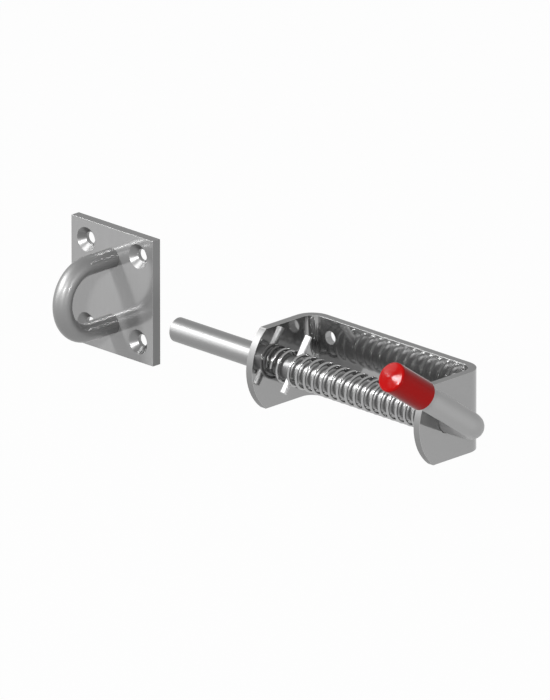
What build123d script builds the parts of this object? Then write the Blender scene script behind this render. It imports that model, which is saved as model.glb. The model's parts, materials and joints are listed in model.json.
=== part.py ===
from build123d import *
from math import cos, pi, radians, sin
import os

os.makedirs("parts", exist_ok=True)

# Frame: the origin is the middle of the bracket's mounting face. X runs along the
# bolt away from the keeper, Y runs into the gate and Z is up. Sizes in millimetres.

# Bolt with its bent handle
bolt_d = 12.0
bolt_shoot = 65.3
bolt_tip_chamfer = 0.8
bolt_axis_off = 25.0
handle_from_ear = 23.3
handle_bend_r = 15.0
handle_reach = 75.5
handle_lift = 35.0

# Bracket folded from strip
bracket_w = 115.0
bracket_h = 40.0
bracket_t = 4.0
bracket_bend_r = 10.3
ear_depth = 44.1
ear_nose_rise = 9.5
bolt_play = 0.25
bracket_screw_d = 6.6
bracket_screw_dx = 82.8
bracket_screw_dz = 21.6
edge_break = 0.35

# Return spring
wire_d = 1.55
spring_play = 0.95
spring_pitch = 5.55
spring_end_gap = 0.3
spring_pin_gap = 0.2
spring_steps = 12
coil_slope = 1.02
coil_settle = 2.5

# Cross pin
pin_d = 3.5
pin_len = 29.8
pin_from_ear = 9.2
pin_shift = 1.9

# Handle cap
cap_wall = 1.5
cap_len = 25.5
cap_end_wall = 1.6
cap_rim_r = 1.2

# Keeper
keeper_from_tip = 64.1
keeper_z = -1.7
keeper_w = 55.0
keeper_h = 63.0
keeper_t = 5.0
keeper_screw_d = 6.0
keeper_sink_d = 12.2
keeper_screw_dx = 35.0
keeper_screw_dz = 43.0
staple_d = 9.5
staple_bend_r = 16.65
staple_arm = 16.5

# Derived places
bolt_axis_y = -bolt_axis_off
bolt_hole_d = bolt_d + 2 * bolt_play
ear_in_x = bracket_w / 2 - bracket_t
bolt_tip_x = -bracket_w / 2 - bolt_shoot
handle_axis_x = bracket_w / 2 + handle_from_ear
pin_x = -ear_in_x + pin_from_ear
keeper_x = bolt_tip_x - keeper_from_tip
arm_dir = Vector(0, -cos(radians(handle_lift)), sin(radians(handle_lift)))
pin_dir = Vector(0, sin(radians(handle_lift)), cos(radians(handle_lift)))
handle_root = Vector(handle_axis_x, bolt_axis_y, 0)
bend_in = handle_root - Vector(handle_bend_r, 0, 0)
bend_out = handle_root + arm_dir * handle_bend_r
bend_mid = handle_root + (arm_dir - Vector(1, 0, 0)) * (handle_bend_r * (1 - cos(pi / 4)))
rod_end = handle_root + arm_dir * (handle_reach - cap_end_wall)
coil_r = bolt_d / 2 + spring_play + wire_d / 2
coil_start_x = -ear_in_x + spring_end_gap + wire_d / 2
coil_steps = round(-2 * coil_start_x / spring_pitch * spring_steps)
coil_pitch = -2 * coil_start_x * spring_steps / coil_steps


def coil_shift(turn):
    """Extra advance of the coil that opens a gap for the cross pin, in millimetres."""
    first_pass = (125.0 + 35.0 - handle_lift) / 360.0
    half_turns = round(2 * ((pin_x - coil_start_x) / coil_pitch - first_pass) - 0.5)
    before = first_pass + max(half_turns, 1) / 2
    after = before + 0.5
    clear = coil_slope * (pin_d / 2 + wire_d / 2 + spring_pin_gap)
    low = pin_x - clear - coil_start_x - coil_pitch * before
    high = pin_x + clear - coil_start_x - coil_pitch * after
    if turn < before:
        return low * turn / before
    if turn < after:
        return low + (high - low) * (turn - before) / (after - before)
    return high * max(0.0, 1 - (turn - after) / coil_settle)


with BuildPart() as bracket:
    with BuildSketch(Plane.XY.offset(-bracket_h / 2)):
        with Locations((0, -ear_depth / 2)):
            outer = Rectangle(bracket_w, ear_depth)
        fillet(outer.vertices().group_by(Axis.Y)[-1], bracket_bend_r)
        with BuildSketch(mode=Mode.PRIVATE) as channel:
            with Locations((0, -bracket_t - ear_depth / 2)):
                inner = Rectangle(2 * ear_in_x, ear_depth)
            fillet(inner.vertices().group_by(Axis.Y)[-1], bracket_bend_r - bracket_t)
        add(channel.sketch, mode=Mode.SUBTRACT)
    extrude(amount=bracket_h)
    with BuildSketch(Plane.YZ.offset(-bracket_w / 2 - 1)):
        with BuildLine():
            nose = ThreePointArc(
                (ear_nose_rise - ear_depth, bracket_h / 2),
                (-ear_depth, 0),
                (ear_nose_rise - ear_depth, -bracket_h / 2),
            )
            Polyline(nose @ 1, (1, -bracket_h / 2), (1, bracket_h / 2), nose @ 0)
        make_face()
    extrude(amount=bracket_w + 2, mode=Mode.INTERSECT)
    rims = bracket.faces().sort_by(Axis.Z)
    nose_edges = bracket.edges().filter_by(GeomType.CIRCLE).group_by(Axis.Y)[0]
    chamfer(rims[0].edges() + rims[-1].edges() + nose_edges, edge_break)
    with Locations(Location((0, bolt_axis_y, 0), (0, 90, 0))):
        Cylinder(bolt_hole_d / 2, bracket_w + 2, mode=Mode.SUBTRACT)
    with Locations(Location((0, 0, 0), (90, 0, 0))):
        with GridLocations(bracket_screw_dx, bracket_screw_dz, 2, 2):
            Cylinder(bracket_screw_d / 2, 3 * bracket_t, mode=Mode.SUBTRACT)
bracket.part.label = "bracket"
export_step(bracket.part, "parts/bracket.step")

with BuildPart() as bolt:
    with BuildLine():
        Line((bolt_tip_x, bolt_axis_y, 0), bend_in)
        ThreePointArc(bend_in, bend_mid, bend_out)
        Line(bend_out, rod_end)
    with BuildSketch(Plane(origin=(bolt_tip_x, bolt_axis_y, 0), z_dir=(1, 0, 0))):
        Circle(bolt_d / 2)
    sweep()
    chamfer(bolt.edges().sort_by(Axis.X)[0], bolt_tip_chamfer)
    with BuildSketch(Plane(origin=(pin_x, bolt_axis_y, 0), z_dir=pin_dir)):
        Circle(pin_d / 2)
    extrude(amount=bolt_d, both=True, mode=Mode.SUBTRACT)
bolt.part.label = "bolt"
export_step(bolt.part, "parts/bolt.step")

with BuildPart() as return_spring:
    with BuildLine():
        coil_points = []
        for step in range(coil_steps + 1):
            turn = step / spring_steps
            angle = pi / 2 - 2 * pi * turn
            coil_x = coil_start_x + coil_pitch * turn + coil_shift(turn)
            coil_points.append((coil_x, bolt_axis_y - coil_r * sin(angle), coil_r * cos(angle)))
        coil = Spline(*coil_points)
    with BuildSketch(Plane(origin=coil @ 0, z_dir=coil % 0)):
        Circle(wire_d / 2)
    sweep(path=coil, is_frenet=True)
return_spring.part.label = "return_spring"
export_step(return_spring.part, "parts/return_spring.step")

with BuildPart() as cross_pin:
    pin_foot = Vector(pin_x, bolt_axis_y, 0) + pin_dir * (pin_shift - pin_len / 2)
    with BuildSketch(Plane(origin=pin_foot, z_dir=pin_dir)):
        Circle(pin_d / 2)
    extrude(amount=pin_len)
    chamfer(cross_pin.edges().filter_by(GeomType.CIRCLE), pin_d / 15)
cross_pin.part.label = "cross_pin"
export_step(cross_pin.part, "parts/cross_pin.step")

with BuildPart() as handle_cap:
    cap_mouth = Plane(origin=handle_root + arm_dir * (handle_reach - cap_len), z_dir=arm_dir)
    with BuildSketch(cap_mouth):
        Circle(bolt_d / 2 + cap_wall)
    extrude(amount=cap_len)
    fillet(handle_cap.edges().sort_by(Axis(handle_root, arm_dir))[-1], cap_rim_r)
    with BuildSketch(cap_mouth):
        Circle(bolt_d / 2)
    extrude(amount=cap_len - cap_end_wall, mode=Mode.SUBTRACT)
handle_cap.part.label = "handle_cap"
export_step(handle_cap.part, "parts/handle_cap.step")

with BuildPart() as keeper_plate:
    with Locations((keeper_x, -keeper_t / 2, keeper_z)):
        Box(keeper_w, keeper_t, keeper_h)
    chamfer(keeper_plate.faces().sort_by(Axis.Y)[0].edges(), edge_break)
    front = Plane(origin=(keeper_x, -keeper_t, keeper_z), x_dir=(1, 0, 0), z_dir=(0, -1, 0))
    with Locations(front):
        with GridLocations(keeper_screw_dx, keeper_screw_dz, 2, 2):
            CounterSinkHole(keeper_screw_d / 2, keeper_sink_d / 2, depth=keeper_t)
        with GridLocations(0, 2 * staple_bend_r, 1, 2):
            Hole(staple_d / 2, depth=keeper_t)
keeper_plate.part.label = "keeper_plate"
export_step(keeper_plate.part, "parts/keeper_plate.step")

with BuildPart() as keeper_staple:
    with BuildLine():
        bend_y = -keeper_t - staple_arm
        Line((keeper_x, 0, keeper_z + staple_bend_r), (keeper_x, bend_y, keeper_z + staple_bend_r))
        ThreePointArc(
            (keeper_x, bend_y, keeper_z + staple_bend_r),
            (keeper_x, bend_y - staple_bend_r, keeper_z),
            (keeper_x, bend_y, keeper_z - staple_bend_r),
        )
        Line((keeper_x, bend_y, keeper_z - staple_bend_r), (keeper_x, 0, keeper_z - staple_bend_r))
    with BuildSketch(Plane(origin=(keeper_x, 0, keeper_z + staple_bend_r), z_dir=(0, -1, 0))):
        Circle(staple_d / 2)
    sweep()
keeper_staple.part.label = "keeper_staple"
export_step(keeper_staple.part, "parts/keeper_staple.step")
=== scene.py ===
"""Looks of a spring loaded gate latch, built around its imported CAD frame."""

import json
import math

import bmesh
import bpy
from bpy.props import FloatProperty, FloatVectorProperty, IntProperty, PointerProperty
from mathutils import Matrix, Vector


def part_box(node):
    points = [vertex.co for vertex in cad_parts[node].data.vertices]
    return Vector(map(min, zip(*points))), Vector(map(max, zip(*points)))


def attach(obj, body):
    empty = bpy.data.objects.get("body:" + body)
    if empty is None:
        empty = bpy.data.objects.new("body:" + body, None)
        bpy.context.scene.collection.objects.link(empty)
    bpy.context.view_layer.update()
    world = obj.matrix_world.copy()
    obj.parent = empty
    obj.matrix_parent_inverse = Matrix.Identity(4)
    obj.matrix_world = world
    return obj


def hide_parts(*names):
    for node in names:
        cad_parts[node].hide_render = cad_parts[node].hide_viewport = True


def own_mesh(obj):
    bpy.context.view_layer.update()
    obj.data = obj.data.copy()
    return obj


bl_info = {
    "name": "Spring Loaded Gate Latch",
    "version": (1, 0, 0),
    "blender": (4, 5, 0),
    "location": "View3D > Sidebar > Gate Latch",
    "description": "Models and finishes a sprung gate bolt with its keeper",
    "category": "Add Mesh",
}

MM = 0.001

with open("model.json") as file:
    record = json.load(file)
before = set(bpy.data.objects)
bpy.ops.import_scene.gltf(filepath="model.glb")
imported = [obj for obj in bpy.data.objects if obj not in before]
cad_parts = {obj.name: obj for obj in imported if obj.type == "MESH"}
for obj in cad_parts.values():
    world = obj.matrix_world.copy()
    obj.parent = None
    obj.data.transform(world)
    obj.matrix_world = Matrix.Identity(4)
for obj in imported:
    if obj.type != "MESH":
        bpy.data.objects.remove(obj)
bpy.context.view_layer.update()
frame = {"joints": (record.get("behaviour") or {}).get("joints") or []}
swivel = next(joint for joint in frame["joints"] if joint["name"] == "handle_swivel")

# Places read from the frame
BOLT_AXIS = Vector(swivel["pos_m"])
BRACKET_LOW, BRACKET_HIGH = (Vector(corner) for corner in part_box("bracket"))
BOLT_LOW, BOLT_HIGH = (Vector(corner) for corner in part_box("bolt"))
PIN_LOW, PIN_HIGH = (Vector(corner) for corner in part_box("cross_pin"))
PLATE_LOW, PLATE_HIGH = (Vector(corner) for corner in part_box("keeper_plate"))
STAPLE_LOW, STAPLE_HIGH = (Vector(corner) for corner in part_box("keeper_staple"))

# Facets: how many steps each round shape is drawn in
NOSE_STEPS = 384
HOLE_STEPS = 96
SCREW_HOLE_STEPS = 64
STAPLE_BEND_STEPS = 96
HANDLE_BEND_STEPS = 48
FOLD_STEPS = 24
PIN_STEPS = 48
WIRE_STEPS = 20
COIL_STEPS = 48
CAP_RIM_STEPS = 10
CAP_RING_STEPS = 6
BAR_PARTS = 12
ARM_PARTS = 6
STAPLE_PARTS = 4

# How squarely a face's normal points along an axis, which picks its finish
FLAT = 0.99
SQUARE = 0.999
ACROSS = 0.1
SLOPE_LOW, SLOPE_HIGH = 0.6, 0.8

ALONG = Vector((1, 0, 0))
FORWARD = Vector((0, -1, 0))
WASTE_HEIGHT = 100 * MM
CAP_LIP_SHARE = 0.25
PIN_BREAK_SHARE = 1 / 15

# The coil is opened round the pin, where its turns run at a slant and need a little more room.
# It settles back to its pitch in this many turns, and it is parted at this share of the room.
COIL_SLOPE = 1.02
COIL_SETTLE = 2.5
SEAM_SHARE = 0.72


def linear(hex_colour):
    """Turns an sRGB hex colour into linear red, green and blue."""
    parts = (int(hex_colour[i : i + 2], 16) / 255 for i in (1, 3, 5))
    return tuple(c / 12.92 if c <= 0.04045 else ((c + 0.055) / 1.055) ** 2.4 for c in parts)


def length(name, text, default):
    """A size of the latch that a user may change. Its default is given in millimetres."""
    return FloatProperty(
        name=name, description=text, default=default * MM, min=0.0, unit="LENGTH", precision=5
    )


def colour(name, text, hex_colour):
    """A colour of the latch that a user may change."""
    return FloatVectorProperty(
        name=name,
        description=text,
        default=linear(hex_colour),
        subtype="COLOR",
        size=3,
        min=0.0,
        max=1.0,
    )


class LatchSizes(bpy.types.PropertyGroup):
    """Sizes of the latch's pieces."""

    bar_d: length("Bar", "Diameter of the bolt's round bar", 12.0)
    tip_break: length("Tip Break", "Chamfer on the bolt's tip", 0.8)
    handle_bend: length("Handle Bend", "Radius of the handle's bend, at mid bar", 15.0)
    handle_reach: length("Handle Reach", "From the bolt's axis to the end of the cap", 75.5)
    handle_lift: FloatProperty(
        name="Handle Lift",
        description="Rise of the handle above the horizontal",
        default=math.radians(35),
        unit="ROTATION",
    )
    strip_t: length("Strip", "Thickness of the bracket's strip", 4.0)
    strip_bend: length("Strip Bend", "Outside radius of the bracket's folds", 10.3)
    nose_rise: length("Nose Rise", "How far an ear's nose stands out of its corners", 9.5)
    bolt_hole_d: length("Bolt Hole", "Diameter of the holes in the ears", 12.5)
    screw_d: length("Screw Hole", "Diameter of the bracket's screw holes", 6.6)
    screw_dx: length("Screw Spacing X", "Along the bracket, hole to hole", 82.8)
    screw_dz: length("Screw Spacing Z", "Across the bracket, hole to hole", 21.6)
    edge_r: length("Edge Break", "Chamfer on the sheet's edges", 0.45)
    wire_d: length("Spring Wire", "Diameter of the spring's wire", 1.55)
    coil_play: length("Coil Play", "Gap between the bolt and the inside of the coil", 0.95)
    coil_pitch: length("Coil Pitch", "Distance from turn to turn", 5.55)
    coil_end_gap: length("Coil End Gap", "Gap between the coil's ends and the ears", 0.3)
    coil_pin_gap: length("Coil Pin Gap", "Gap between the coil and the cross pin", 0.2)
    pin_d: length("Pin", "Diameter of the cross pin", 3.5)
    pin_len: length("Pin Length", "Length of the cross pin", 29.8)
    pin_shift: length("Pin Shift", "How far the pin's middle stands out of the bolt's axis", 1.9)
    cap_wall: length("Cap Wall", "Thickness of the handle cap's wall", 1.5)
    cap_len: length("Cap Length", "Length of the handle cap", 25.5)
    cap_rim: length("Cap Rim", "Rounding of the handle cap's end", 1.2)
    cap_crown: length("Cap Crown", "How far the cap's end stands out of its rim", 0.15)
    cap_ring_pitch: length("Cap Ring Pitch", "From ring to fine ring on the cap's end", 0.6)
    cap_ring_h: length("Cap Ring Height", "Height of the fine rings on the cap's end", 0.022)
    sink_d: length("Countersink", "Diameter of the keeper's countersinks", 12.2)
    keeper_hole_d: length("Keeper Hole", "Diameter of the keeper's screw holes", 6.0)
    keeper_dx: length("Keeper Spacing X", "Across the keeper, hole to hole", 35.0)
    keeper_dz: length("Keeper Spacing Z", "Up the keeper, hole to hole", 43.0)
    staple_d: length("Staple", "Diameter of the keeper's bar", 9.5)
    round_steps: IntProperty(
        name="Round Steps", description="Facets round a bar", default=96, min=16
    )


class LatchColours(bpy.types.PropertyGroup):
    """Colours of the latch's finishes."""

    sheet: colour("Strip", "Polished stainless strip of the bracket", "#9B9B9B")
    plate: colour("Plate", "Buffed stainless plate of the keeper", "#959595")
    bar: colour("Bar", "Polished stainless bar of bolt and staple", "#888888")
    # The handle's paler grey is painted light: it stands in for the light that falls on the
    # handle's arm.
    handle: colour("Handle", "Tumbled stainless bar of the handle", "#A2A2A2")
    # The pin's pale grey is partly its steel and partly a painted highlight along it.
    pin: colour("Pin", "Bright stainless pin", "#D4D4D4")
    edge: colour("Edge", "Brushed cut edges of strip and plate", "#828282")
    # The chamfers' paler grey is a painted highlight, a light line round the edges.
    rim: colour("Rim", "Ground chamfers of strip and plate", "#B2B2B2")
    sink: colour("Countersink", "Bright turned countersinks", "#868686")
    wire: colour("Wire", "Bright spring wire", "#A8A8A8")
    cap: colour("Cap", "Red dipped vinyl", "#9C0808")
    floor: colour("Floor", "Plain pale floor", "#888888")
    sky: colour("Studio", "Pale walls of the studio", "#E4E4E4")


def sizes():
    return bpy.context.scene.latch_sizes


def colours():
    return bpy.context.scene.latch_colours


# Shared measures


def arm_direction():
    """Along the handle's arm, away from the bolt."""
    lift = sizes().handle_lift
    return Vector((0, -math.cos(lift), math.sin(lift)))


def pin_direction():
    """Along the cross pin, at a right angle to the handle's arm."""
    lift = sizes().handle_lift
    return Vector((0, math.sin(lift), math.cos(lift)))


def handle_root():
    """Where the handle's arm would cross the bolt's axis."""
    return Vector((BOLT_HIGH.x - sizes().bar_d / 2, BOLT_AXIS.y, BOLT_AXIS.z))


def turned_to(direction, place):
    """A matrix that takes +Z to a direction and the origin to a place."""
    return Matrix.Translation(place) @ direction.to_track_quat("Z", "Y").to_matrix().to_4x4()


def corners(dx, dz):
    """The four places of a rectangle of holes, in X and Z from its middle."""
    return [(x, z) for x in (-dx / 2, dx / 2) for z in (-dz / 2, dz / 2)]


def is_sloped(lean):
    """Whether a face leans at about 45 degrees, as chamfers and countersinks do."""
    return SLOPE_LOW < lean < SLOPE_HIGH


# Materials

# How wide the clouds and pores of the finishes are, and how far they change shade and sheen
CLOUD_MM = 16.667
CLOUD_SHARE = 0.35
STEEL_SHADE = 0.07
STEEL_HAZE = 0.2
VINYL_CLOUD_MM = 11.111
VINYL_PORE_MM = 1.1111
VINYL_SHADE = 0.08

# How much of the paper's white the camera and the mirrors see. The rest is its own shading.
PAPER_GLOW = 0.98


def per_metre(mm):
    """How many repeats a pattern of so many millimetres makes in a metre."""
    return 1 / (mm * MM)


def add(tree, kind, settings=None, links=None):
    """Adds a node, sets its properties and inputs by name, and links its inputs by name."""
    node = tree.nodes.new(kind)
    for name, value in (settings or {}).items():
        if isinstance(name, str) and hasattr(node, name):
            setattr(node, name, value)
        else:
            node.inputs[name].default_value = value
    for name, socket in (links or {}).items():
        tree.links.new(socket, node.inputs[name])
    return node


def new_material(name):
    """An empty node material and its output node."""
    material = bpy.data.materials.new(name)
    material.use_nodes = True
    material.node_tree.nodes.clear()
    return material, material.node_tree, add(material.node_tree, "ShaderNodeOutputMaterial")


def steel(name, tint, metal, rough, grain_mm, stretch=(1.0, 1.0, 1.0), bump_mm=0.001, coat=0.0):
    """Stainless steel with fine polishing lines that run along the piece."""
    material, tree, output = new_material(name)
    place = add(tree, "ShaderNodeTexCoord").outputs["Object"]
    scale = [per_metre(grain_mm) * share for share in stretch]
    lines = add(tree, "ShaderNodeMapping", {"Scale": scale}, {"Vector": place})
    grain = add(
        tree,
        "ShaderNodeTexNoise",
        {"Scale": 1.0, "Detail": 3.0, "Roughness": 0.6},
        {"Vector": lines.outputs["Vector"]},
    ).outputs["Fac"]
    cloud = add(
        tree,
        "ShaderNodeTexNoise",
        {"Scale": per_metre(CLOUD_MM), "Detail": 2.0},
        {"Vector": place},
    ).outputs["Fac"]
    blend = add(
        tree,
        "ShaderNodeMix",
        {"data_type": "FLOAT", "Factor": CLOUD_SHARE},
        {"A": grain, "B": cloud},
    ).outputs["Result"]
    base = add(
        tree,
        "ShaderNodeMapRange",
        {"To Min": 1 - STEEL_SHADE, "To Max": 1 + STEEL_SHADE},
        {"Value": blend},
    )
    shade = add(
        tree, "ShaderNodeHueSaturation", {"Color": (*tint, 1.0)}, {"Value": base.outputs["Result"]}
    )
    dull = add(
        tree,
        "ShaderNodeMapRange",
        {"To Min": rough * (1 - STEEL_HAZE), "To Max": rough * (1 + STEEL_HAZE)},
        {"Value": blend},
    )
    bump = add(
        tree, "ShaderNodeBump", {"Strength": 0.25, "Distance": bump_mm * MM}, {"Height": grain}
    )
    surface = add(
        tree,
        "ShaderNodeBsdfPrincipled",
        {"Metallic": metal, "Coat Weight": coat, "Coat Roughness": 0.12},
        {
            "Base Color": shade.outputs["Color"],
            "Roughness": dull.outputs["Result"],
            "Normal": bump.outputs["Normal"],
        },
    )
    tree.links.new(surface.outputs["BSDF"], output.inputs["Surface"])
    return material


def polished_sheet():
    """Bright rolled stainless strip: nearly a mirror, with faint streaks of the rolls."""
    return steel(
        "polished_stainless_strip",
        colours().sheet,
        metal=0.9,
        rough=0.07,
        grain_mm=0.9,
        stretch=(0.05, 1.0, 1.0),
        bump_mm=0.002,
    )


def buffed_plate():
    """Buffed stainless plate: the buffing leaves a haze over the mirror that takes soft shadows."""
    return steel(
        "buffed_stainless_plate",
        colours().plate,
        metal=0.5,
        rough=0.11,
        grain_mm=0.9,
        stretch=(1.0, 1.0, 0.05),
        bump_mm=0.002,
    )


def polished_bar():
    """Polished stainless bar: a soft broad sheen under a thin bright skin."""
    return steel(
        "polished_stainless_bar", colours().bar, metal=0.95, rough=0.44, grain_mm=0.5, coat=0.25
    )


def polished_staple():
    """The staple is bent after it is polished, so its sheen spreads wider than the bolt's."""
    return steel(
        "polished_stainless_staple", colours().bar, metal=1.0, rough=0.5, grain_mm=0.5, coat=0.35
    )


def handle_painted_lighter():
    """The handle's bar: duller than the part in the ears, and painted an even paler grey that
    stands in for the light on the arm.
    """
    return steel(
        "stainless_handle_painted_lighter", colours().handle, metal=0.65, rough=0.48, grain_mm=0.5, coat=0.1
    )


def brushed_edge():
    """The cut edges, brushed smooth: they scatter the light that the faces mirror."""
    return steel("brushed_stainless_edge", colours().edge, metal=0.7, rough=0.45, grain_mm=0.4)


def rim_painted_highlight():
    """The sheet's chamfers: a painted highlight, a paler grey that draws a light line round the
    edges on top of their reflection of the lamps.
    """
    return steel("stainless_rim_painted_highlight", colours().rim, metal=0.95, rough=0.3, grain_mm=0.4)


def pin_painted_highlight():
    """Stainless pin, the brightest piece, with a close even sheen: its pale grey is partly its
    steel and partly a painted highlight.
    """
    return steel("stainless_pin_painted_highlight", colours().pin, metal=0.5, rough=0.45, grain_mm=0.3)


def turned_sink():
    """The countersinks are turned after the plate is buffed, so they catch the light more."""
    return steel("turned_stainless_sink", colours().sink, metal=0.95, rough=0.38, grain_mm=0.4)


def spring_wire():
    """Hard drawn stainless wire: bright, with drawing lines too fine to see singly."""
    return steel(
        "drawn_stainless_wire",
        colours().wire,
        metal=1.0,
        rough=0.17,
        grain_mm=0.3,
        stretch=(1.0, 0.3, 0.3),
    )


def dipped_vinyl():
    """Dipped vinyl: a deep even red under a smooth skin with a soft gloss."""
    material, tree, output = new_material("dipped_red_vinyl")
    place = add(tree, "ShaderNodeTexCoord").outputs["Object"]
    cloud, pores = (
        add(
            tree,
            "ShaderNodeTexNoise",
            {"Scale": per_metre(spot_mm), "Detail": 2.0},
            {"Vector": place},
        )
        for spot_mm in (VINYL_CLOUD_MM, VINYL_PORE_MM)
    )
    base = add(
        tree,
        "ShaderNodeMapRange",
        {"To Min": 1 - VINYL_SHADE, "To Max": 1 + VINYL_SHADE},
        {"Value": cloud.outputs["Fac"]},
    )
    shade = add(
        tree,
        "ShaderNodeHueSaturation",
        {"Color": (*colours().cap, 1.0)},
        {"Value": base.outputs["Result"]},
    )
    bump = add(
        tree,
        "ShaderNodeBump",
        {"Strength": 0.15, "Distance": 0.02 * MM},
        {"Height": pores.outputs["Fac"]},
    )
    surface = add(
        tree,
        "ShaderNodeBsdfPrincipled",
        {"Roughness": 0.08, "IOR": 1.5, "Specular IOR Level": 0.08},
        {"Base Color": shade.outputs["Color"], "Normal": bump.outputs["Normal"]},
    )
    tree.links.new(surface.outputs["BSDF"], output.inputs["Surface"])
    return material


def seen_directly(tree):
    """1 for a ray from the camera, a mirror or a glass, and 0 for one that lights a surface."""
    path = add(tree, "ShaderNodeLightPath").outputs
    seen = path["Is Camera Ray"]
    for ray in ("Is Glossy Ray", "Is Transmission Ray"):
        either = add(tree, "ShaderNodeMath", {"operation": "MAXIMUM"}, {0: seen, 1: path[ray]})
        seen = either.outputs["Value"]
    return seen


def pale_floor():
    """Plain white paper: it shows as white and keeps a faint shadow."""
    material, tree, output = new_material("pale_paper")
    paper = add(tree, "ShaderNodeBsdfDiffuse", {"Color": (*colours().floor, 1.0)})
    glow = add(tree, "ShaderNodeEmission", {"Color": (1, 1, 1, 1), "Strength": 1.0})
    settings = {"operation": "MULTIPLY", 1: PAPER_GLOW}
    seen = add(tree, "ShaderNodeMath", settings, {0: seen_directly(tree)})
    surface = add(
        tree,
        "ShaderNodeMixShader",
        links={"Fac": seen.outputs["Value"], 1: paper.outputs["BSDF"], 2: glow.outputs["Emission"]},
    )
    tree.links.new(surface.outputs["Shader"], output.inputs["Surface"])
    return material


# Meshes

MERGE_DISTANCE = 0.001 * MM
ROUND_ANGLE = math.radians(30)
FOLD_ANGLE = math.radians(15)
BREAK_ANGLE = math.radians(40)
CUTTER_OVER = 0.5 * MM


def from_bmesh(name, shape):
    """A mesh object at the origin, made from a finished bmesh."""
    bmesh.ops.remove_doubles(shape, verts=shape.verts, dist=MERGE_DISTANCE)
    bmesh.ops.recalc_face_normals(shape, faces=shape.faces)
    mesh = bpy.data.meshes.new(name)
    shape.to_mesh(mesh)
    shape.free()
    piece = bpy.data.objects.new(name, mesh)
    bpy.context.collection.objects.link(piece)
    return piece


def smooth(piece, angle=ROUND_ANGLE):
    """Smooth shading, with edges sharper than an angle left crisp."""
    piece.data.shade_smooth()
    piece.data.set_sharp_from_angle(angle=angle)


def with_modifiers(piece):
    """Applies a piece's modifiers to its mesh."""
    depsgraph = bpy.context.evaluated_depsgraph_get()
    finished = bpy.data.meshes.new_from_object(piece.evaluated_get(depsgraph))
    piece.modifiers.clear()
    old = piece.data
    piece.data = finished
    bpy.data.meshes.remove(old)
    finished.name = piece.name


def cut(piece, cutter):
    """Cuts one object's shape out of another."""
    modifier = piece.modifiers.new("cut", "BOOLEAN")
    modifier.object = cutter
    modifier.operation = "DIFFERENCE"
    modifier.solver = "EXACT"
    with_modifiers(piece)
    mesh = cutter.data
    bpy.data.objects.remove(cutter)
    bpy.data.meshes.remove(mesh)


def break_edges(piece, width):
    """Breaks every sharp edge with a narrow flat chamfer and keeps the flats flat."""
    bevel = piece.modifiers.new("edge_break", "BEVEL")
    bevel.width = width
    bevel.segments = 1
    bevel.limit_method = "ANGLE"
    bevel.angle_limit = BREAK_ANGLE
    with_modifiers(piece)
    smooth(piece, FOLD_ANGLE)
    piece.modifiers.new("level_normals", "WEIGHTED_NORMAL").keep_sharp = True
    with_modifiers(piece)


def finish_faces(piece, material, is_one):
    """Gives another finish to the faces that a test on their centre and normal picks."""
    piece.data.materials.append(material)
    slot = len(piece.data.materials) - 1
    for face in piece.data.polygons:
        if is_one(face.center, face.normal):
            face.material_index = slot


def finish_piece(piece, material, body, *nodes):
    """Gives a piece its material, the body that it rides on and the nodes that it stands for."""
    piece.data.materials.clear()
    piece.data.materials.append(material)
    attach(piece, body)
    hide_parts(*nodes)


def ring(shape, radius, direction, place, steps):
    """A circle of edges round a direction."""
    made = bmesh.ops.create_circle(
        shape, cap_ends=False, radius=radius, segments=steps, matrix=turned_to(direction, place)
    )
    return list({edge for vert in made["verts"] for edge in vert.link_edges})


def extruded(shape, edges):
    """Extrudes a ring of edges in place and returns the new vertices and the new ring."""
    drawn = bmesh.ops.extrude_edge_only(shape, edges=edges)["geom"]
    verts = [v for v in drawn if isinstance(v, bmesh.types.BMVert)]
    return verts, [e for e in drawn if isinstance(e, bmesh.types.BMEdge) and e.is_boundary]


def pull(shape, edges, shift, parts=1):
    """Draws a ring of edges out along a straight run and returns its far ring."""
    for _ in range(parts):
        verts, edges = extruded(shape, edges)
        bmesh.ops.translate(shape, verts=verts, vec=shift / parts)
    return edges


def turn(shape, edges, centre, axis, angle, steps, advance=Vector()):
    """Draws a ring of edges round a bend and returns its far ring."""
    drawn = bmesh.ops.spin(
        shape,
        geom=edges,
        cent=centre,
        axis=axis,
        dvec=advance / steps,
        angle=angle,
        steps=steps,
        use_duplicate=False,
    )
    return [e for e in drawn["geom_last"] if isinstance(e, bmesh.types.BMEdge)]


def shrink(shape, edges, amount, direction, rise):
    """Draws a ring of edges in by an amount while it moves along a direction."""
    verts, edges = extruded(shape, edges)
    middle = sum((v.co for v in verts), Vector()) / len(verts)
    factor = 1 - amount / (verts[0].co - middle).length
    bmesh.ops.scale(shape, verts=verts, vec=(factor,) * 3, space=Matrix.Translation(-middle))
    bmesh.ops.translate(shape, verts=verts, vec=direction * rise)
    return edges


def close_end(shape, edges):
    """Fills a ring of edges with one face."""
    bmesh.ops.contextual_create(shape, geom=edges)


def rod(name, radius, depth, direction, place, steps):
    """A straight round bar with flat ends, whose middle is at a place."""
    shape = bmesh.new()
    bmesh.ops.create_cone(
        shape,
        cap_ends=True,
        segments=steps,
        radius1=radius,
        radius2=radius,
        depth=depth,
        matrix=turned_to(direction, place),
    )
    return from_bmesh(name, shape)


def block(name, middle, span):
    """A box whose middle is at a place."""
    shape = bmesh.new()
    matrix = Matrix.Translation(middle) @ Matrix.Diagonal((*span, 1))
    bmesh.ops.create_cube(shape, size=1.0, matrix=matrix)
    return from_bmesh(name, shape)


def drill(radius, depth, direction, place, steps=HOLE_STEPS):
    """A cutter for a round hole."""
    return rod("cutter", radius, depth, direction, place, steps)


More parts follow.
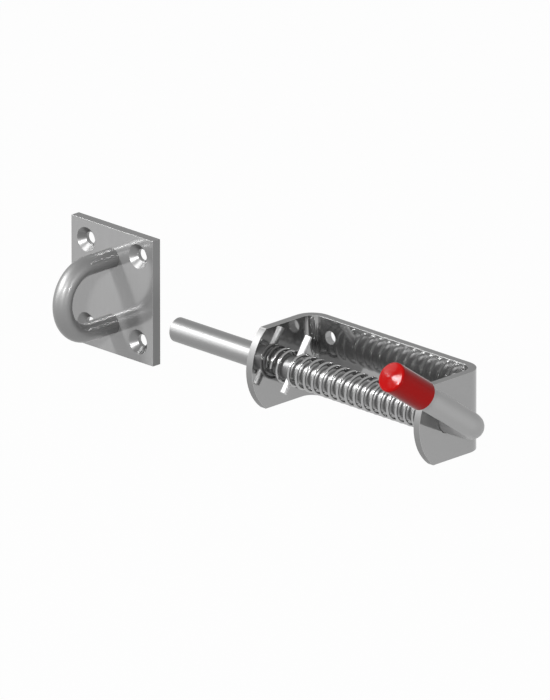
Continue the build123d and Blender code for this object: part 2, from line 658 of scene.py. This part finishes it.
def countersink(radius, mouth, depth, direction, place):
    """A cutter for a hole whose mouth, at a place on the surface, opens at 45 degrees."""
    flare = mouth - radius
    shape = bmesh.new()
    foot = ring(shape, radius, direction, place - direction * depth, HOLE_STEPS)
    close_end(shape, foot)
    edges = pull(shape, foot, direction * (depth - flare))
    close_end(shape, shrink(shape, edges, -flare - CUTTER_OVER, direction, flare + CUTTER_OVER))
    return from_bmesh("cutter", shape)


# Pieces


class LATCH_OT_bracket(bpy.types.Operator):
    """Folds the bracket's strip, rounds its ears and drills it"""

    bl_idname = "latch.bracket"
    bl_label = "Bracket"

    def execute(self, context):
        size = sizes()
        half = (BRACKET_HIGH.x - BRACKET_LOW.x) / 2
        front = BRACKET_LOW.y
        fold = half - size.strip_bend
        ear = -front - size.strip_bend
        insets = (0, size.strip_t)

        shape = bmesh.new()
        start = [shape.verts.new((-half + inset, front, BRACKET_LOW.z)) for inset in insets]
        edges = [shape.edges.new(start)]
        for side, run in ((-1, Vector((0, ear, 0))), (1, ALONG * 2 * fold)):
            edges = pull(shape, edges, run)
            centre = (side * fold, -size.strip_bend, BRACKET_LOW.z)
            edges = turn(shape, edges, centre, (0, 0, 1), -math.pi / 2, FOLD_STEPS)
        pull(shape, edges, Vector((0, -ear, 0)))
        walls = bmesh.ops.extrude_face_region(shape, geom=list(shape.faces))["geom"]
        top = [v for v in walls if isinstance(v, bmesh.types.BMVert)]
        bmesh.ops.translate(shape, verts=top, vec=(0, 0, BRACKET_HIGH.z - BRACKET_LOW.z))
        piece = from_bmesh("latch_bracket", shape)

        nose_r = (BRACKET_HIGH.z**2 + size.nose_rise**2) / (2 * size.nose_rise)
        waste_span = (half / 3, 2 * size.nose_rise, WASTE_HEIGHT)
        for side in (-1, 1):
            across = ALONG * (side * half)
            waste = block("ear_waste", across + Vector((0, front, 0)), waste_span)
            nose_centre = across + Vector((0, front + nose_r, 0))
            cut(waste, drill(nose_r, half, ALONG, nose_centre, NOSE_STEPS))
            cut(piece, waste)
            cut(piece, drill(size.bolt_hole_d / 2, half / 2, ALONG, BOLT_AXIS + across))
        for x, z in corners(size.screw_dx, size.screw_dz):
            inward, place = Vector((0, 1, 0)), Vector((x, 0, z))
            cut(piece, drill(size.screw_d / 2, 4 * size.strip_t, inward, place, SCREW_HOLE_STEPS))
        break_edges(piece, size.edge_r)

        finish_piece(piece, polished_sheet(), "bracket", "bracket")
        nose_y = front + size.nose_rise + size.edge_r
        rim_z = BRACKET_HIGH.z - size.edge_r

        def is_edge(at, facing):
            return abs(facing.z) > FLAT or at.y < nose_y and abs(facing.x) < ACROSS

        def is_rim(at, facing):
            on_side = abs(at.z) > rim_z and is_sloped(abs(facing.z))
            return on_side or at.y < nose_y and is_sloped(abs(facing.x))

        finish_faces(piece, brushed_edge(), is_edge)
        # The chamfers take the paler grey of the painted highlight.
        finish_faces(piece, rim_painted_highlight(), is_rim)
        return {"FINISHED"}


class LATCH_OT_bolt(bpy.types.Operator):
    """Draws the bolt's bar from its tip through the bend to the end of the handle"""

    bl_idname = "latch.bolt"
    bl_label = "Bolt"

    def execute(self, context):
        size = sizes()
        arm = arm_direction()
        tip = Vector((BOLT_LOW.x + size.tip_break, BOLT_AXIS.y, BOLT_AXIS.z))
        # The bar is split inside the right ear. Past it the handle is painted a paler grey, which
        # stands in for the light on the arm.
        lighter_grey_from = Vector((BRACKET_HIGH.x - size.strip_t / 2, BOLT_AXIS.y, BOLT_AXIS.z))
        bend_in = handle_root() - ALONG * size.handle_bend
        bend_centre = bend_in + arm * size.handle_bend
        reach = size.handle_reach - size.handle_bend - 2 * size.cap_wall

        shape = bmesh.new()
        start = ring(shape, size.bar_d / 2, ALONG, tip, size.round_steps)
        close_end(shape, shrink(shape, start, size.tip_break, ALONG, -size.tip_break))
        edges = pull(shape, start, lighter_grey_from - tip, BAR_PARTS)
        edges = pull(shape, edges, bend_in - lighter_grey_from)
        edges = turn(shape, edges, bend_centre, ALONG.cross(arm), math.pi / 2, HANDLE_BEND_STEPS)
        close_end(shape, pull(shape, edges, arm * reach, ARM_PARTS))
        piece = from_bmesh("latch_bolt", shape)
        smooth(piece)
        finish_piece(piece, polished_bar(), "bolt", "bolt")
        # The handle past the split takes the paler grey of the painted light.
        finish_faces(piece, handle_painted_lighter(), lambda at, facing: at.x > lighter_grey_from.x)
        return {"FINISHED"}


def wind(name, stops, coil_r):
    """A stretch of coil. Each stop is a count of turns and its place along the bolt."""
    first_turn, first_x = stops[0]
    turned = Matrix.Rotation(-2 * math.pi * first_turn, 3, ALONG)
    place = BOLT_AXIS + ALONG * first_x + turned @ Vector((0, -coil_r, 0))
    shape = bmesh.new()
    edges = ring(shape, sizes().wire_d / 2, turned @ Vector((0, 0, 1)), place, WIRE_STEPS)
    close_end(shape, edges)
    for (turn_a, x_a), (turn_b, x_b) in zip(stops, stops[1:]):
        steps = max(2, round((turn_b - turn_a) * COIL_STEPS))
        angle = -2 * math.pi * (turn_b - turn_a)
        edges = turn(shape, edges, BOLT_AXIS, ALONG, angle, steps, ALONG * (x_b - x_a))
    close_end(shape, edges)
    piece = from_bmesh(name, shape)
    smooth(piece)
    return piece


class LATCH_OT_spring(bpy.types.Operator):
    """Winds the return spring round the bolt, with room for the cross pin"""

    bl_idname = "latch.spring"
    bl_label = "Return Spring"

    def execute(self, context):
        size = sizes()
        inner = BRACKET_HIGH.x - size.strip_t
        start_x = -inner + size.coil_end_gap + size.wire_d / 2
        coil_r = size.bar_d / 2 + size.coil_play + size.wire_d / 2
        pin_x = (PIN_LOW.x + PIN_HIGH.x) / 2
        clear = COIL_SLOPE * (size.pin_d / 2 + size.wire_d / 2 + size.coil_pin_gap)
        turns = -2 * start_x / size.coil_pitch
        # The wire passes one side of the pin in its second turn, and the other half a turn on.
        before = (90 + math.degrees(size.handle_lift)) / 360 + 1
        after = before + 0.5
        settled = after + COIL_SETTLE

        # The turns up to the pin slide with it. The rest is pressed between pin and far ear.
        press_x = pin_x + SEAM_SHARE * clear
        seam = (before + (1 + SEAM_SHARE) / 4, press_x)
        lead = wind("latch_spring_lead", ((0.0, start_x), (before, pin_x - clear), seam), coil_r)
        finish_piece(lead, spring_wire(), "bolt", "return_spring")
        stops = (
            seam,
            (after, pin_x + clear),
            (settled, start_x + size.coil_pitch * settled),
            (turns, -start_x),
        )
        piece = wind("latch_spring", stops, coil_r)
        finish_piece(piece, spring_wire(), "spring", "return_spring")
        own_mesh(piece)
        return {"FINISHED"}


class LATCH_OT_cross_pin(bpy.types.Operator):
    """Turns the pin that carries the spring's push to the bolt"""

    bl_idname = "latch.cross_pin"
    bl_label = "Cross Pin"

    def execute(self, context):
        size = sizes()
        on_axis = Vector(((PIN_LOW.x + PIN_HIGH.x) / 2, BOLT_AXIS.y, BOLT_AXIS.z))
        middle = on_axis + pin_direction() * size.pin_shift
        radius = size.pin_d / 2
        piece = rod("latch_cross_pin", radius, size.pin_len, pin_direction(), middle, PIN_STEPS)
        break_edges(piece, size.pin_d * PIN_BREAK_SHARE)
        # The pin's pale grey is partly a painted highlight.
        finish_piece(piece, pin_painted_highlight(), "bolt", "cross_pin")
        return {"FINISHED"}


class LATCH_OT_handle_cap(bpy.types.Operator):
    """Dips the handle's end in red vinyl"""

    bl_idname = "latch.handle_cap"
    bl_label = "Handle Cap"

    def execute(self, context):
        size = sizes()
        arm = arm_direction()
        mouth_place = handle_root() + arm * (size.handle_reach - size.cap_len)
        lip = CAP_LIP_SHARE * size.cap_wall
        side = size.cap_len - size.cap_rim - size.cap_crown - lip
        flat = size.bar_d / 2 + size.cap_wall - size.cap_rim

        shape = bmesh.new()
        mouth = ring(shape, size.bar_d / 2, arm, mouth_place, size.round_steps)
        edges = shrink(shape, mouth, lip - size.cap_wall, arm, 0.0)
        edges = shrink(shape, edges, -lip, arm, lip)
        edges = pull(shape, edges, arm * side, ARM_PARTS)
        for step in range(CAP_RIM_STEPS):
            old, new = (math.pi / 2 * s / CAP_RIM_STEPS for s in (step, step + 1))
            inward = size.cap_rim * (math.cos(old) - math.cos(new))
            rise = size.cap_rim * (math.sin(new) - math.sin(old))
            edges = shrink(shape, edges, inward, arm, rise)

        # The end is crowned a little and carries fine rings.
        rings = round(flat / size.cap_ring_pitch)
        crown_steps = CAP_RING_STEPS * rings
        height = 0.0
        for step in range(1, crown_steps):
            share = step / crown_steps
            wave = size.cap_ring_h / 2 * math.sin(2 * math.pi * rings * share)
            old, height = height, size.cap_crown * share * (2 - share) + wave
            edges = shrink(shape, edges, flat / crown_steps, arm, height - old)
        close_end(shape, edges)
        close_end(shape, pull(shape, mouth, arm * (size.cap_len - size.cap_wall)))
        piece = from_bmesh("latch_handle_cap", shape)
        smooth(piece)
        finish_piece(piece, dipped_vinyl(), "bolt", "handle_cap")
        return {"FINISHED"}


class LATCH_OT_keeper_plate(bpy.types.Operator):
    """Cuts the keeper's plate and countersinks it"""

    bl_idname = "latch.keeper_plate"
    bl_label = "Keeper Plate"

    def execute(self, context):
        size = sizes()
        middle = (PLATE_LOW + PLATE_HIGH) / 2
        span = PLATE_HIGH - PLATE_LOW
        hole_r, sink_r = size.keeper_hole_d / 2, size.sink_d / 2
        staple_dz = STAPLE_HIGH.z - STAPLE_LOW.z - size.staple_d
        piece = block("latch_keeper_plate", middle, span)
        for x, z in corners(size.keeper_dx, size.keeper_dz):
            place = Vector((middle.x + x, PLATE_LOW.y, middle.z + z))
            cut(piece, countersink(hole_r, sink_r, 2 * span.y, FORWARD, place))
        for z in (-staple_dz / 2, staple_dz / 2):
            place = middle + Vector((0, 0, z))
            cut(piece, drill(size.staple_d / 2, 4 * span.y, FORWARD, place))
        break_edges(piece, size.edge_r)

        finish_piece(piece, buffed_plate(), "bracket", "keeper_plate")
        rim_y = PLATE_LOW.y + size.edge_r

        def is_edge(_, facing):
            return max(abs(facing.x), abs(facing.z)) > SQUARE

        finish_faces(piece, brushed_edge(), is_edge)
        finish_faces(piece, turned_sink(), lambda at, facing: is_sloped(-facing.y) and at.y > rim_y)
        # The plate's chamfers take the paler grey of the painted highlight.
        finish_faces(piece, rim_painted_highlight(), lambda at, facing: is_sloped(-facing.y) and at.y < rim_y)
        return {"FINISHED"}


class LATCH_OT_keeper_staple(bpy.types.Operator):
    """Bends the keeper's bar into the loop that takes the bolt"""

    bl_idname = "latch.keeper_staple"
    bl_label = "Keeper Staple"

    def execute(self, context):
        size = sizes()
        middle = (STAPLE_LOW + STAPLE_HIGH) / 2
        bend_r = (STAPLE_HIGH.z - STAPLE_LOW.z - size.staple_d) / 2
        straight = STAPLE_HIGH.y - STAPLE_LOW.y - bend_r - size.staple_d / 2
        foot = Vector((middle.x, STAPLE_HIGH.y, middle.z + bend_r))
        centre = Vector((middle.x, STAPLE_HIGH.y - straight, middle.z))

        shape = bmesh.new()
        edges = ring(shape, size.staple_d / 2, FORWARD, foot, size.round_steps)
        close_end(shape, edges)
        edges = pull(shape, edges, FORWARD * straight, STAPLE_PARTS)
        edges = turn(shape, edges, centre, ALONG, math.pi, STAPLE_BEND_STEPS)
        close_end(shape, pull(shape, edges, FORWARD * -straight, STAPLE_PARTS))
        piece = from_bmesh("latch_keeper_staple", shape)
        smooth(piece)
        finish_piece(piece, polished_staple(), "bracket", "keeper_staple")
        return {"FINISHED"}


# Stage

CAMERA_AZIMUTH = math.radians(45)
CAMERA_RISE = math.asin(0.336)
CAMERA_TARGET = Vector((-57.45, -24.83, 5.93)) * MM
CAMERA_LENS = 1300.0
SENSOR = 36.0
VIEW_HEIGHT = 330.2 * MM
FLOOR_DROP = 90.0 * MM
FLOOR_REACH = 30.0
WORLD_FILL = 0.04
LAMP_DISTANCE = 1.5

# Each lamp's name, its direction from the latch, its side in metres and its power in watts
LAMPS = (
    ("key_box", (-0.667, -0.44, 0.60), 0.36, 4.2),
    ("key_spot", (-0.43, -0.68, 0.60), 0.18, 20.0),
    ("low_box", (-0.66, -0.73, 0.18), 0.50, 2.4),
    ("front_spot", (0.45, -0.78, 0.44), 0.15, 13.0),
    ("side_spot", (0.98, -0.10, 0.145), 0.20, 8.5),
)


def add_area_light(name, direction, span, power):
    """A square soft box that faces the latch from a direction."""
    data = bpy.data.lights.new(name, "AREA")
    data.size = span
    data.energy = power
    lamp = bpy.data.objects.new(name, data)
    towards = Vector(direction).normalized()
    lamp.location = CAMERA_TARGET + towards * LAMP_DISTANCE
    lamp.rotation_euler = towards.to_track_quat("Z", "Y").to_euler()
    bpy.context.collection.objects.link(lamp)


class LATCH_OT_stage(bpy.types.Operator):
    """Lays the floor, hangs the lamps and sets the camera"""

    bl_idname = "latch.stage"
    bl_label = "Stage"

    def execute(self, context):
        shape = bmesh.new()
        bmesh.ops.create_grid(shape, x_segments=1, y_segments=1, size=FLOOR_REACH)
        bmesh.ops.translate(shape, verts=shape.verts, vec=(0, 0, PLATE_LOW.z - FLOOR_DROP))
        floor = from_bmesh("stage_floor", shape)
        floor.data.materials.append(pale_floor())

        world = bpy.data.worlds.new("studio")
        context.scene.world = world
        world.use_nodes = True
        tree = world.node_tree
        tree.nodes.clear()
        level = add(
            tree,
            "ShaderNodeMapRange",
            {"To Min": WORLD_FILL, "To Max": 1.0},
            {"Value": seen_directly(tree)},
        )
        sky = add(
            tree,
            "ShaderNodeBackground",
            {"Color": (*colours().sky, 1.0)},
            {"Strength": level.outputs["Result"]},
        )
        output = add(tree, "ShaderNodeOutputWorld")
        tree.links.new(sky.outputs["Background"], output.inputs["Surface"])

        for lamp in LAMPS:
            add_area_light(*lamp)

        data = bpy.data.cameras.new("photo_camera")
        data.lens = CAMERA_LENS
        data.sensor_width = SENSOR
        distance = VIEW_HEIGHT * CAMERA_LENS / SENSOR
        data.clip_start = 0.1
        data.clip_end = 100.0
        camera = bpy.data.objects.new("photo_camera", data)
        towards = Vector(
            (
                math.cos(CAMERA_RISE) * math.sin(CAMERA_AZIMUTH),
                -math.cos(CAMERA_RISE) * math.cos(CAMERA_AZIMUTH),
                math.sin(CAMERA_RISE),
            )
        )
        camera.location = CAMERA_TARGET + towards * distance
        camera.rotation_euler = (math.pi / 2 - CAMERA_RISE, 0, CAMERA_AZIMUTH)
        context.collection.objects.link(camera)
        context.scene.camera = camera
        context.scene.view_settings.view_transform = "Standard"
        return {"FINISHED"}


OPERATORS = (
    LATCH_OT_bracket,
    LATCH_OT_bolt,
    LATCH_OT_spring,
    LATCH_OT_cross_pin,
    LATCH_OT_handle_cap,
    LATCH_OT_keeper_plate,
    LATCH_OT_keeper_staple,
    LATCH_OT_stage,
)


class LATCH_PT_panel(bpy.types.Panel):
    """Sizes, colours and builders of the gate latch"""

    bl_label = "Gate Latch"
    bl_idname = "LATCH_PT_panel"
    bl_space_type = "VIEW_3D"
    bl_region_type = "UI"
    bl_category = "Gate Latch"

    def draw(self, context):
        layout = self.layout
        for group in (context.scene.latch_sizes, context.scene.latch_colours):
            column = layout.column(align=True)
            for name in group.__annotations__:
                column.prop(group, name)
        for operator in OPERATORS:
            layout.operator(operator.bl_idname)


CLASSES = (LatchSizes, LatchColours, *OPERATORS, LATCH_PT_panel)


def register():
    for cls in CLASSES:
        bpy.utils.register_class(cls)
    bpy.types.Scene.latch_sizes = PointerProperty(type=LatchSizes)
    bpy.types.Scene.latch_colours = PointerProperty(type=LatchColours)


def unregister():
    del bpy.types.Scene.latch_colours
    del bpy.types.Scene.latch_sizes
    for cls in reversed(CLASSES):
        bpy.utils.unregister_class(cls)


def main():
    register()
    for operator in OPERATORS:
        group, name = operator.bl_idname.split(".")
        getattr(getattr(bpy.ops, group), name)()


if __name__ == "__main__":
    main()
